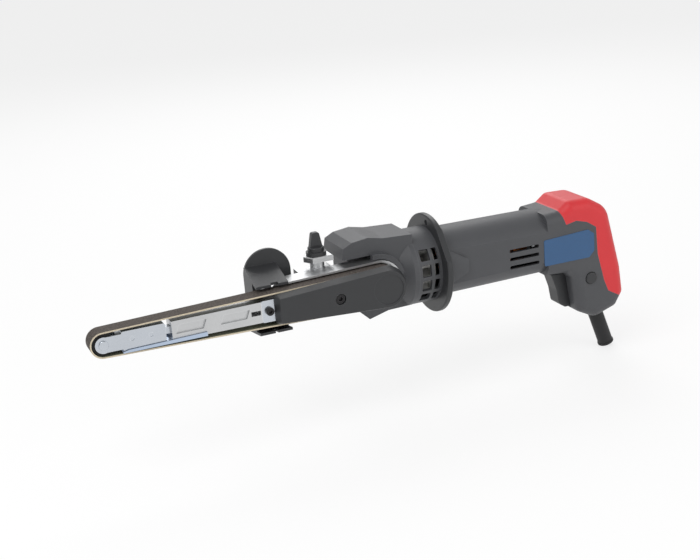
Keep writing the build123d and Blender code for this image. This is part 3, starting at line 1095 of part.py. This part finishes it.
with BuildPart() as speed_control:
    board_x = (349.0, 371.0)
    block(board_x, (NEAR_FACE_Y + SHELL + 0.2, MOTOR_Y + HALF_WIDTH - SHELL - 0.2), (BOARD_Z, BOARD_Z + 1.6))
    block((board_x[0] + 3, board_x[0] + 15), (MOTOR_Y - 8, MOTOR_Y + 4), (BOARD_Z + 1.6, BOARD_Z + 9))
    for part_y in (MOTOR_Y - 12, MOTOR_Y + 9):
        bar_z(board_x[1] - 4.5, part_y, 2.6, BOARD_Z + 1.6, BOARD_Z + 8)
speed_control.part.label = "speed_control"
export_step(speed_control.part, "parts/speed_control.step")

# ---------------------------------------------------------------------------------------------
# Cable sleeve at the foot of the grip, with the clamp that holds the cable behind it
# ---------------------------------------------------------------------------------------------
with BuildPart() as cable_sleeve:
    with BuildSketch(sleeve_plane.offset(-SLEEVE_INSIDE)):
        Circle(SLEEVE_RADIUS)
    extrude(amount=SLEEVE_INSIDE + SLEEVE_LENGTH)
    with BuildSketch(sleeve_plane.offset(SLEEVE_LENGTH - 1.8)):
        Circle(SLEEVE_RADIUS + 0.5)
    extrude(amount=1.8)
    fillet(cable_sleeve.edges().filter_by(GeomType.CIRCLE).sort_by(SortBy.RADIUS)[-2:], 0.4)
    with BuildSketch(sleeve_plane.offset(-SLEEVE_INSIDE)):
        Circle(CABLE_RADIUS)
    extrude(amount=SLEEVE_INSIDE + SLEEVE_LENGTH, mode=Mode.SUBTRACT)
cable_sleeve.part.label = "cable_sleeve"
export_step(cable_sleeve.part, "parts/cable_sleeve.step")
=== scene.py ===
"""Dresses the handheld belt sander: a finish for every CAD node, the camera, the floor and the lamps."""
import json
import logging
from dataclasses import dataclass, field
from enum import Enum
from typing import Any

import bpy
from mathutils import Matrix, Vector


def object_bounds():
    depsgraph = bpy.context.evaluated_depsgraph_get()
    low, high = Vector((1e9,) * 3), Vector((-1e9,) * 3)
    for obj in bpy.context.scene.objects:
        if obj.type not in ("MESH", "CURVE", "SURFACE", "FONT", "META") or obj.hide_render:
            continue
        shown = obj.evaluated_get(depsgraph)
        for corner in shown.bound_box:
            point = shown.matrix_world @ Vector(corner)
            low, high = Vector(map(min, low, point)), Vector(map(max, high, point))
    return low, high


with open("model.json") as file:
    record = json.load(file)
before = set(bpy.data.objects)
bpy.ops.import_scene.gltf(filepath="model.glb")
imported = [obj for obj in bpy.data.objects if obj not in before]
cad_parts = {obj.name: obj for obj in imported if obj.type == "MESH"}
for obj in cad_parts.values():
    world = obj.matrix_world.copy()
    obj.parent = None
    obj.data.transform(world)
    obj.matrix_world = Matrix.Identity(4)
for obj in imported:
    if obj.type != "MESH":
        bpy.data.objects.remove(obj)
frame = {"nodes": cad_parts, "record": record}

LOG = logging.getLogger("belt_sander")
MM = 0.001
CAD_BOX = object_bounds()

# How a finish varies over a surface.
CLOUD_MM = 18.0                         # size of the slow patches of colour
TONE_FROM, TONE_TO = 0.6, 1.4           # span of the two patterns' sum that shifts the colour
ROUGHNESS_SWING = 0.07
RELIEF_DEPTH = 0.5                      # depth of the relief as a share of the grain's size
BRUSH_STRETCH = (0.05, 1.0, 1.0)        # brush lines run along x, twenty times as long as wide
COAT_ROUGHNESS = 0.15
SHEEN_ROUGHNESS = 0.4

# Likeness of the rounded and the true normal, on flat places and on edges.
FLAT_LIKENESS, EDGE_LIKENESS = 0.995, 0.8
EDGE_SAMPLES = 4


# ---------------------------------------------------------------------------------------------
# Places, read from the frame
# ---------------------------------------------------------------------------------------------
def joint_place(name: str) -> Vector:
    """Place of a hinge's axis in the row frame.

    Args:
        name: the joint's name in the record.

    Returns:
        The point that the record gives for it, in metres.
    """
    joint = next(j for j in frame["record"]["behaviour"]["joints"] if j["name"] == name)
    return Vector(joint["pos_m"])


@dataclass(frozen=True)
class Layout:
    """The axes of the two belt rollers, in metres."""

    nose: Vector = field(default_factory=lambda: joint_place("nose_roller_spin"))
    drive: Vector = field(default_factory=lambda: joint_place("arm_swivel"))

    def spot(self, x: float, y: float, z: float) -> Vector:
        """Point x behind the nose roller's axis, y behind the belt's mid-plane and z up, in millimetres.

        Args:
            x: distance from the nose roller's axis towards the grip.
            y: distance from the belt's mid-plane away from its open side.
            z: height over the line through both roller axes.

        Returns:
            The point in the row frame, in metres.
        """
        return self.nose + Vector((x, y, z)) * MM


PLACES = Layout()


# ---------------------------------------------------------------------------------------------
# Colours and node helpers
# ---------------------------------------------------------------------------------------------
def linear(hex_colour: str) -> tuple[float, float, float, float]:
    """Linear colour of an sRGB hex value.

    Args:
        hex_colour: six hex digits after a hash sign.

    Returns:
        Red, green, blue and an alpha of 1.
    """
    parts = [int(hex_colour[i:i + 2], 16) / 255 for i in (1, 3, 5)]
    red, green, blue = (c / 12.92 if c <= 0.04045 else ((c + 0.055) / 1.055) ** 2.4 for c in parts)
    return red, green, blue, 1.0


def add_node(tree: bpy.types.NodeTree, kind: str, inputs: dict[Any, Any] | None = None,
             **settings: Any) -> bpy.types.Node:
    """Adds a node with its settings, values and links.

    Args:
        tree: the node tree.
        kind: the node's type name.
        inputs: values or output sockets by input name or number.
        settings: the node's own properties.

    Returns:
        The new node.
    """
    node = tree.nodes.new(kind)
    for name, value in settings.items():
        setattr(node, name, value)
    for name, value in (inputs or {}).items():
        if isinstance(value, bpy.types.NodeSocket):
            tree.links.new(value, node.inputs[name])
        else:
            node.inputs[name].default_value = value
    return node


def empty_material(name: str) -> bpy.types.Material:
    """Makes a material that has no nodes yet.

    Args:
        name: the material's name.

    Returns:
        The material.
    """
    material = bpy.data.materials.new(name)
    material.use_nodes = True
    material.node_tree.nodes.clear()
    return material


def edge_mask(tree: bpy.types.NodeTree, width: float) -> bpy.types.NodeSocket:
    """Adds a mask of the edges, where a rounded normal leaves the true one.

    Args:
        tree: the material's node tree.
        width: radius of the rounded normal, in metres.

    Returns:
        A value from 0 on flat places to 1 on edges.
    """
    rounded = add_node(tree, "ShaderNodeBevel", {"Radius": width}, samples=EDGE_SAMPLES)
    flat = add_node(tree, "ShaderNodeNewGeometry")
    likeness = add_node(tree, "ShaderNodeVectorMath", {
        0: rounded.outputs["Normal"], 1: flat.outputs["Normal"]}, operation="DOT_PRODUCT")
    mask = add_node(tree, "ShaderNodeMapRange", {
        "Value": likeness.outputs["Value"], "From Min": FLAT_LIKENESS, "From Max": EDGE_LIKENESS})
    return mask.outputs["Result"]


# ---------------------------------------------------------------------------------------------
# Finishes
# ---------------------------------------------------------------------------------------------
class Pattern(Enum):
    """What breaks up a finish's surface."""

    PLAIN = "plain"
    GRAINED = "grained"
    BRUSHED = "brushed"


@dataclass(frozen=True)
class Finish:
    """One finish: what the surface is made of and how it looks.

    Sizes are in millimetres. tone_shift is how far the colour wanders, edge_highlight_and_wear the lighter
    colour of the edges, which is partly a painted highlight and partly wear, and edge_width how wide they
    are.
    """

    name: str
    colour: str
    roughness: float
    metallic: float = 0.0
    ior: float = 1.5
    pattern: Pattern = Pattern.GRAINED
    grain_mm: float = 0.7
    relief: float = 0.1
    tone_shift: float = 0.06
    edge_highlight_and_wear: str = ""
    # lighter colour of the edges: partly a painted highlight, partly wear
    edge_width: float = 0.5
    coat: float = 0.0
    sheen: float = 0.0

    def build(self) -> bpy.types.Material:
        """Makes the material.

        Returns:
            The material, built of nodes on object coordinates.
        """
        material = empty_material(self.name)
        tree = material.node_tree
        place = add_node(tree, "ShaderNodeTexCoord").outputs["Object"]
        fine = self.fine_pattern(tree, place)
        cloud = add_node(tree, "ShaderNodeTexNoise",
                         {"Vector": place, "Scale": 1 / (CLOUD_MM * MM), "Detail": 3.0, "Roughness": 0.6})
        colour = self.tinted(tree, cloud.outputs["Fac"], fine)
        rough = add_node(tree, "ShaderNodeMapRange", {
            "Value": fine, "To Min": self.roughness - ROUGHNESS_SWING,
            "To Max": self.roughness + ROUGHNESS_SWING})
        bump = add_node(tree, "ShaderNodeBump", {
            "Height": fine, "Strength": self.relief, "Distance": self.grain_mm * MM * RELIEF_DEPTH})
        shader = add_node(tree, "ShaderNodeBsdfPrincipled", {
            "Base Color": colour, "Roughness": rough.outputs["Result"], "Normal": bump.outputs["Normal"],
            "Metallic": self.metallic, "IOR": self.ior, "Coat Weight": self.coat,
            "Coat Roughness": COAT_ROUGHNESS, "Sheen Weight": self.sheen, "Sheen Roughness": SHEEN_ROUGHNESS})
        add_node(tree, "ShaderNodeOutputMaterial", {"Surface": shader.outputs["BSDF"]})
        return material

    def fine_pattern(self, tree: bpy.types.NodeTree, place: bpy.types.NodeSocket) -> bpy.types.NodeSocket:
        """Adds the small pattern of the surface.

        Args:
            tree: the material's node tree.
            place: the object coordinates.

        Returns:
            A value from 0 to 1.
        """
        scale = 1 / (self.grain_mm * MM)
        if self.pattern is Pattern.BRUSHED:
            stretched = add_node(tree, "ShaderNodeMapping", {"Vector": place, "Scale": BRUSH_STRETCH})
            noise = add_node(tree, "ShaderNodeTexNoise", {
                "Vector": stretched.outputs["Vector"], "Scale": scale, "Detail": 2.0})
            return noise.outputs["Fac"]
        detail = 4.0 if self.pattern is Pattern.GRAINED else 1.0
        noise = add_node(tree, "ShaderNodeTexNoise", {"Vector": place, "Scale": scale, "Detail": detail})
        return noise.outputs["Fac"]

    def tinted(self, tree: bpy.types.NodeTree, cloud: bpy.types.NodeSocket,
               fine: bpy.types.NodeSocket) -> bpy.types.NodeSocket:
        """Adds the wandering colour and the lighter edges, which are partly a painted highlight and partly
        wear.

        Args:
            tree: the material's node tree.
            cloud: a slow pattern from 0 to 1.
            fine: the small pattern from 0 to 1.

        Returns:
            The base colour.
        """
        base = linear(self.colour)
        low = tuple(c * (1 - self.tone_shift) for c in base[:3]) + (1.0,)
        high = tuple(min(1.0, c * (1 + self.tone_shift)) for c in base[:3]) + (1.0,)
        both = add_node(tree, "ShaderNodeMath", {0: cloud, 1: fine}, operation="ADD")
        share = add_node(tree, "ShaderNodeMapRange", {
            "Value": both.outputs["Value"], "From Min": TONE_FROM, "From Max": TONE_TO})
        tone = add_node(tree, "ShaderNodeMix", {
            "Factor": share.outputs["Result"], "A": low, "B": high}, data_type="RGBA")
        if not self.edge_highlight_and_wear:
            return tone.outputs["Result"]
        # The edges are painted lighter: partly a painted highlight where they would catch the light, partly
        # wear.
        edge = edge_mask(tree, self.edge_width * MM)
        highlit_and_worn = add_node(tree, "ShaderNodeMix", {
            "Factor": edge, "A": tone.outputs["Result"], "B": linear(self.edge_highlight_and_wear)}, data_type="RGBA")
        return highlit_and_worn.outputs["Result"]


@dataclass(frozen=True)
class BeltCloth:
    """Coated cloth: brown grit in resin outside, bare cotton on the edges, greyish cloth inside.

    grain_from and grain_to are the span of the grit pattern that goes from dark to light, and
    edge_turn is how far a face looks sideways where it counts as the belt's edge.
    """

    name: str = "coated_cotton_cloth"
    grit: str = "#5a524c"
    grit_dark: str = "#2c2724"
    edge: str = "#c9bda6"
    inside: str = "#6d6f5c"
    roughness: float = 0.85
    grit_mm: float = 0.9        # coarser than 80 grit, so that it shows
    fine_share: float = 0.6     # size of the fine breaks as a share of a grain
    grain_from: float = 0.05
    grain_to: float = 0.4
    relief: float = 0.9
    relief_mm: float = 0.4
    edge_turn: float = 0.7

    def build(self) -> bpy.types.Material:
        """Makes the material, which tells its faces apart by where they look from the belt's mid-line.

        Returns:
            The material.
        """
        material = empty_material(self.name)
        tree = material.node_tree
        place = add_node(tree, "ShaderNodeTexCoord").outputs["Object"]
        normal = add_node(tree, "ShaderNodeNewGeometry").outputs["True Normal"]
        speckle = self.speckle(tree, place)
        ramp = add_node(tree, "ShaderNodeMapRange", {
            "Value": speckle, "From Min": self.grain_from, "From Max": self.grain_to})
        grains = add_node(tree, "ShaderNodeMix", {
            "Factor": ramp.outputs["Result"], "A": linear(self.grit_dark), "B": linear(self.grit)},
            data_type="RGBA")
        faces = add_node(tree, "ShaderNodeMix", {
            "Factor": self.outward(tree, place, normal), "A": linear(self.inside),
            "B": grains.outputs["Result"]}, data_type="RGBA")
        colour = add_node(tree, "ShaderNodeMix", {
            "Factor": self.sideways(tree, normal), "A": faces.outputs["Result"], "B": linear(self.edge)},
            data_type="RGBA")
        bump = add_node(tree, "ShaderNodeBump", {
            "Height": speckle, "Strength": self.relief, "Distance": self.relief_mm * MM})
        shader = add_node(tree, "ShaderNodeBsdfPrincipled", {
            "Base Color": colour.outputs["Result"], "Roughness": self.roughness,
            "Normal": bump.outputs["Normal"]})
        add_node(tree, "ShaderNodeOutputMaterial", {"Surface": shader.outputs["BSDF"]})
        return material

    def speckle(self, tree: bpy.types.NodeTree, place: bpy.types.NodeSocket) -> bpy.types.NodeSocket:
        """Adds the pattern of grains and the fine breaks in them.

        Args:
            tree: the material's node tree.
            place: the object coordinates.

        Returns:
            A value that is low between grains.
        """
        cells = add_node(tree, "ShaderNodeTexVoronoi", {"Vector": place, "Scale": 1 / (self.grit_mm * MM)})
        fine = add_node(tree, "ShaderNodeTexNoise", {
            "Vector": place, "Scale": 1 / (self.fine_share * self.grit_mm * MM), "Detail": 3.0})
        both = add_node(tree, "ShaderNodeMath", {
            0: cells.outputs["Distance"], 1: fine.outputs["Fac"]}, operation="MULTIPLY")
        return both.outputs["Value"]

    def outward(self, tree: bpy.types.NodeTree, place: bpy.types.NodeSocket,
                normal: bpy.types.NodeSocket) -> bpy.types.NodeSocket:
        """Adds a mask of the faces that look away from the line between the two rollers.

        Args:
            tree: the material's node tree.
            place: the object coordinates.
            normal: the face's own normal.

        Returns:
            1 where the face looks outwards.
        """
        parts = add_node(tree, "ShaderNodeSeparateXYZ", {"Vector": place})
        near = add_node(tree, "ShaderNodeClamp", {
            "Value": parts.outputs["X"], "Min": PLACES.nose.x, "Max": PLACES.drive.x})
        middle = add_node(tree, "ShaderNodeCombineXYZ", {
            "X": near.outputs["Result"], "Y": parts.outputs["Y"], "Z": PLACES.nose.z})
        away = add_node(tree, "ShaderNodeVectorMath", {
            0: place, 1: middle.outputs["Vector"]}, operation="SUBTRACT")
        facing = add_node(tree, "ShaderNodeVectorMath", {
            0: away.outputs["Vector"], 1: normal}, operation="DOT_PRODUCT")
        outside = add_node(tree, "ShaderNodeMath", {
            0: facing.outputs["Value"], 1: 0.0}, operation="GREATER_THAN")
        return outside.outputs["Value"]

    def sideways(self, tree: bpy.types.NodeTree, normal: bpy.types.NodeSocket) -> bpy.types.NodeSocket:
        """Adds a mask of the belt's two edges.

        Args:
            tree: the material's node tree.
            normal: the face's own normal.

        Returns:
            1 where the face looks along the rollers' axes.
        """
        across = add_node(tree, "ShaderNodeSeparateXYZ", {"Vector": normal})
        turn = add_node(tree, "ShaderNodeMath", {0: across.outputs["Y"]}, operation="ABSOLUTE")
        is_edge = add_node(tree, "ShaderNodeMath", {
            0: turn.outputs["Value"], 1: self.edge_turn}, operation="GREATER_THAN")
        return is_edge.outputs["Value"]


# Glass-filled nylon, moulded in a spark-eroded tool: an even matt grain with soft broad highlights.
NYLON = Finish("spark_textured_nylon", "#46474a", 0.5, grain_mm=0.5, relief=0.35, edge_highlight_and_wear="#5a5b5e")
# ABS from a polished tool, a little blacker and glossier than the motor housing.
BLACK_ABS = Finish("black_abs", "#2b2c2e", 0.42, grain_mm=0.4, relief=0.15, edge_highlight_and_wear="#434447")
# Soft thermoplastic rubber moulded over the shells: saturated red with a dry sheen.
RED_RUBBER = Finish("red_soft_overmould", "#d0292f", 0.48, grain_mm=0.4, relief=0.12, edge_highlight_and_wear="#e04a4c",
                    sheen=0.15)
# Gravity die-cast aluminium, tumbled: grey-white and slightly mottled.
CAST_ALUMINIUM = Finish("tumbled_cast_aluminium", "#c9cacb", 0.38, metallic=1.0, grain_mm=0.9, relief=0.12,
                        edge_highlight_and_wear="#e4e5e6")
# Pressed steel with bright zinc: bluish white, with faint rolling lines.
ZINC_STEEL = Finish("bright_zinc_steel", "#c3c8cf", 0.26, metallic=1.0, pattern=Pattern.BRUSHED,
                    grain_mm=0.35, relief=0.06, edge_highlight_and_wear="#e2e6ea")
# Polished spring steel strip under the belt, bluer than the zinc.
PLATEN_STEEL = Finish("polished_spring_steel", "#b4c2d6", 0.2, metallic=1.0, pattern=Pattern.BRUSHED,
                      grain_mm=0.3, relief=0.05)
# Black oxide screws: nearly black with an oily gloss.
BLACK_OXIDE = Finish("black_oxide_steel", "#2e2d2e", 0.32, metallic=0.8, grain_mm=0.3, relief=0.08,
                     edge_highlight_and_wear="#6a6a6c", edge_width=0.25)
# Ground bearing rings: fine lines and a sharp shine.
GROUND_STEEL = Finish("ground_bearing_steel", "#b9bbbe", 0.22, metallic=1.0, pattern=Pattern.BRUSHED,
                      grain_mm=0.2, relief=0.03)
# Drawn spring wire: smooth grey with narrow highlights.
SPRING_WIRE = Finish("drawn_spring_wire", "#8d8f93", 0.3, metallic=1.0, grain_mm=0.2, relief=0.04)
# Nitrile rubber: deep black, no gloss.
BLACK_RUBBER = Finish("black_nitrile_rubber", "#1d1d1e", 0.68, grain_mm=0.5, relief=0.12, sheen=0.2)
# Printed polycarbonate film: even blue under a thin gloss.
LABEL_FILM = Finish("blue_label_film", "#21507c", 0.36, pattern=Pattern.PLAIN, grain_mm=2.0, relief=0.0,
                    tone_shift=0.03, coat=0.25)
# Turned aluminium pulley: mid grey with a soft shine.
TURNED_ALUMINIUM = Finish("turned_aluminium", "#9a9c9f", 0.34, metallic=1.0, grain_mm=0.3, relief=0.06)
# Stacked sheet steel, varnished: dull grey with a rough edge.
LAMINATION = Finish("varnished_lamination", "#6c6d70", 0.45, metallic=0.7, grain_mm=0.5, relief=0.2)
# Enamelled copper wire: warm orange brown with small glints.
COPPER = Finish("enamelled_copper", "#b06a3c", 0.3, metallic=0.9, grain_mm=0.6, relief=0.4)
# Polyamide of the fan: pale grey, half matt.
FAN_PLASTIC = Finish("pale_polyamide", "#a9a9a6", 0.45, grain_mm=0.6, relief=0.08)
# Sintered carbon: almost black and matt.
CARBON = Finish("sintered_carbon", "#26262a", 0.6, grain_mm=0.3, relief=0.15)
# Glass-epoxy board with green lacquer: even and glossy.
BOARD = Finish("lacquered_board", "#24603f", 0.35, grain_mm=0.8, relief=0.05)

NODE_FINISH: dict[Finish | BeltCloth, tuple[str, ...]] = {
    NYLON: ("gear_housing", "bearing_cap", "vented_neck", "housing_near", "housing_far"),
    BLACK_ABS: ("guard_flange", "pulley_cover", "dust_hood", "dust_nozzle", "wing_knob", "trigger",
                "lock_button", "speed_dial", "switch_module", "brush_holders"),
    RED_RUBBER: ("rear_cover",),
    LABEL_FILM: ("label_plate",),
    CAST_ALUMINIUM: ("belt_housing", "clamp_block", "arm_bar"),
    ZINC_STEEL: ("nose_fork", "arm_clamp_plate", "nose_axle", "output_spindle", "motor_shaft"),
    PLATEN_STEEL: ("platen",),
    BLACK_OXIDE: ("clamp_screw", "cover_screw", "pulley_screw", "housing_screws", "bevel_gear",
                  "bevel_pinion"),
    GROUND_STEEL: ("spindle_near_bearing", "spindle_far_bearing", "motor_front_bearing",
                   "motor_rear_bearing", "roller_bearing"),
    SPRING_WIRE: ("tension_spring", "trigger_spring", "lock_spring"),
    BLACK_RUBBER: ("nose_roller", "cable_sleeve"),
    TURNED_ALUMINIUM: ("drive_pulley",),
    LAMINATION: ("stator", "armature"),
    COPPER: ("field_coils", "armature_winding", "commutator"),
    FAN_PLASTIC: ("cooling_fan",),
    CARBON: ("carbon_brushes",),
    BOARD: ("speed_control",),
    BeltCloth(): ("sanding_belt",),
}


def dress_nodes() -> None:
    """Gives every CAD node its finish, and stops if one has none."""
    left = set(frame["nodes"])
    for finish, nodes in NODE_FINISH.items():
        material = finish.build()
        for node in nodes:
            slots = frame["nodes"][node].data.materials
            slots.clear()
            slots.append(material)
            left.discard(node)
        LOG.info("%s on %s", finish.name, ", ".join(nodes))
    if left:
        raise ValueError(f"no finish for {sorted(left)}")


# ---------------------------------------------------------------------------------------------
# Studio
# ---------------------------------------------------------------------------------------------
@dataclass(frozen=True)
class Lamp:
    """A square area lamp that faces the middle of the part.

    offset is its place from that middle and side its width, both in metres. power is in watts.
    """

    name: str
    offset: tuple[float, float, float]
    side: float
    power: float

    def build(self, target: Vector) -> None:
        """Adds the lamp.

        Args:
            target: the point that it faces, in metres.
        """
        data = bpy.data.lights.new(self.name, "AREA")
        data.size, data.energy = self.side, self.power
        lamp = bpy.data.objects.new(self.name, data)
        bpy.context.scene.collection.objects.link(lamp)
        offset = Vector(self.offset)
        lamp.location = target + offset
        lamp.rotation_mode = "QUATERNION"
        lamp.rotation_quaternion = offset.to_track_quat("Z", "Y")


@dataclass(frozen=True)
class Studio:
    """Camera, floor, surround and soft lamps.

    eye is in millimetres, as PLACES.spot takes it. clip and floor_side are in metres.
    """

    lens_mm: float = 67.44
    sensor_mm: float = 36.0
    eye: tuple[float, float, float] = (-132.6, -784.2, 281.2)
    right: tuple[float, float, float] = (0.9199, -0.3840, -0.0789)
    up: tuple[float, float, float] = (0.1888, 0.2574, 0.9476)
    clip: tuple[float, float] = (0.05, 20.0)
    floor_side: float = 12.0
    floor_white: float = 0.72       # how far the floor is plain white to the camera; the rest keeps shadows
    surround_light: float = 0.55
    lamps: tuple[Lamp, ...] = (
        Lamp("key", (-0.7, -0.5, 1.1), 0.9, 9.0),
        Lamp("fill", (0.9, -1.1, 0.5), 1.0, 4.0),
        Lamp("rim", (0.4, 1.0, 0.9), 0.8, 6.0),
    )

    def build(self) -> None:
        """Makes the camera, the floor, the surround and the lamps."""
        self.add_camera()
        self.add_floor()
        self.add_world()
        target = (CAD_BOX[0] + CAD_BOX[1]) / 2
        for lamp in self.lamps:
            lamp.build(target)
        bpy.context.scene.view_settings.view_transform = "Standard"
        LOG.info("studio ready")

    def add_camera(self) -> None:
        """Adds the camera at the object's front left, a little above it."""
        data = bpy.data.cameras.new("camera")
        data.lens = self.lens_mm
        data.sensor_width = self.sensor_mm
        data.clip_start, data.clip_end = self.clip
        camera = bpy.data.objects.new("camera", data)
        bpy.context.scene.collection.objects.link(camera)
        right = Vector(self.right).normalized()
        up = (Vector(self.up) - right * right.dot(Vector(self.up))).normalized()
        turn = Matrix((right, up, right.cross(up))).transposed()
        camera.matrix_world = Matrix.Translation(PLACES.spot(*self.eye)) @ turn.to_4x4()
        bpy.context.scene.camera = camera

    def add_floor(self) -> None:
        """Adds a pale floor under the lowest point."""
        for thing in bpy.context.selected_objects:
            thing.select_set(False)
        bpy.ops.mesh.primitive_plane_add(size=self.floor_side, location=(0, 0, CAD_BOX[0].z))
        floor = bpy.context.object
        floor.name = "floor"
        material = empty_material("pale_floor")
        tree = material.node_tree
        paper = add_node(tree, "ShaderNodeBsdfDiffuse", {"Color": linear("#f4f4f4")})
        glow = add_node(tree, "ShaderNodeEmission", {"Color": linear("#ffffff"), "Strength": 1.0})
        path = add_node(tree, "ShaderNodeLightPath")
        seen = add_node(tree, "ShaderNodeMath", {
            0: path.outputs["Is Camera Ray"], 1: path.outputs["Is Glossy Ray"]}, operation="MAXIMUM")
        share = add_node(tree, "ShaderNodeMath", {
            0: seen.outputs["Value"], 1: self.floor_white}, operation="MULTIPLY")
        both = add_node(tree, "ShaderNodeMixShader", {
            0: share.outputs["Value"], 1: paper.outputs["BSDF"], 2: glow.outputs["Emission"]})
        add_node(tree, "ShaderNodeOutputMaterial", {"Surface": both.outputs["Shader"]})
        floor.data.materials.append(material)

    def add_world(self) -> None:
        """Adds an even surround that lights the part softly and reads as white to the camera."""
        world = bpy.data.worlds.new("surround")
        world.use_nodes = True
        tree = world.node_tree
        tree.nodes.clear()
        path = add_node(tree, "ShaderNodeLightPath")
        seen = add_node(tree, "ShaderNodeMath", {
            0: path.outputs["Is Camera Ray"], 1: path.outputs["Is Transmission Ray"]}, operation="MAXIMUM")
        dim = add_node(tree, "ShaderNodeBackground", {
            "Color": linear("#ffffff"), "Strength": self.surround_light})
        white = add_node(tree, "ShaderNodeBackground", {"Color": linear("#ffffff"), "Strength": 1.0})
        both = add_node(tree, "ShaderNodeMixShader", {
            0: seen.outputs["Value"], 1: dim.outputs["Background"], 2: white.outputs["Background"]})
        add_node(tree, "ShaderNodeOutputWorld", {"Surface": both.outputs["Shader"]})
        bpy.context.scene.world = world


def main() -> None:
    """Builds the scene in order."""
    logging.basicConfig(level=logging.INFO, format="%(name)s: %(message)s")
    dress_nodes()
    Studio().build()


if __name__ == "__main__":
    main()
